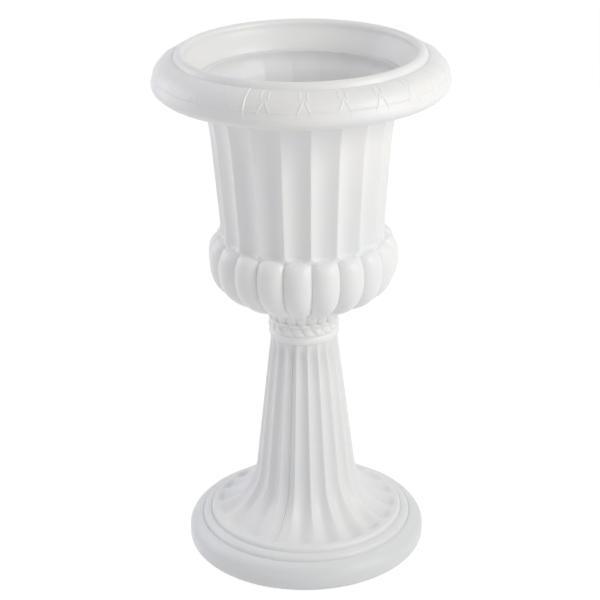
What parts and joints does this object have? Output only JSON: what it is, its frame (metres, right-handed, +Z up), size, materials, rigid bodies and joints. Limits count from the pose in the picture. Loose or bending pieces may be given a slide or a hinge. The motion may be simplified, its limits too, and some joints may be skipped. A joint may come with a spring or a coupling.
{
  "type": "urn planter",
  "caption": "Campana urn planter with a rolled rim, fluted wall and gadrooned belly, bolted to a fluted column on a stepped round foot.",
  "frame": {"origin": "middle of the foot on the floor", "axes": "+Z up along the urn's axis; the mould parting plane is X = 0"},
  "size_m": [0.4152, 0.4152, 0.76],
  "materials": {
    "white_moulding": "semi-gloss moulded",
    "zinc_steel": "zinc plated",
    "black_rubber": "matt moulded",
    "grey_plug": "matt moulded"
  },
  "bodies": {
    "pedestal": {"pedestal_shell": "white_moulding"},
    "bowl": {"bowl_shell": "white_moulding", "rim_collar": "white_moulding", "seal_washer": "black_rubber", "penny_washer_upper": "zinc_steel"},
    "bolt": {"tie_bolt": "zinc_steel"},
    "washer": {"penny_washer_lower": "zinc_steel"},
    "nut": {"wing_nut": "zinc_steel"},
    "plug_left": {"drain_plug_left": "grey_plug"},
    "plug_right": {"drain_plug_right": "grey_plug"}
  },
  "joints": [
    {"name": "bowl_lift", "type": "slide", "parent": "pedestal", "child": "bowl", "axis": [0, 0, 1], "range_m": [0, 0.06]},
    {"name": "bolt_draw", "type": "slide", "parent": "bowl", "child": "bolt", "axis": [0, 0, 1], "range_m": [0, 0.05]},
    {"name": "washer_drop", "type": "slide", "parent": "pedestal", "child": "washer", "axis": [0, 0, -1], "range_m": [0, 0.0286]},
    {"name": "nut_spin", "type": "hinge", "parent": "washer", "child": "nut", "pos_m": [0, 0, 0.333], "axis": [0, 0, -1], "range_deg": [0, 6840]},
    {"name": "plug_left_pull", "type": "slide", "parent": "bowl", "child": "plug_left", "axis": [0, 0, 1], "range_m": [0, 0.02]},
    {"name": "plug_right_pull", "type": "slide", "parent": "bowl", "child": "plug_right", "axis": [0, 0, 1], "range_m": [0, 0.02]}
  ],
  "couplings": [
    {"joint": "washer_drop", "follows": "nut_spin", "m_per_rad": 0.00023873}
  ]
}
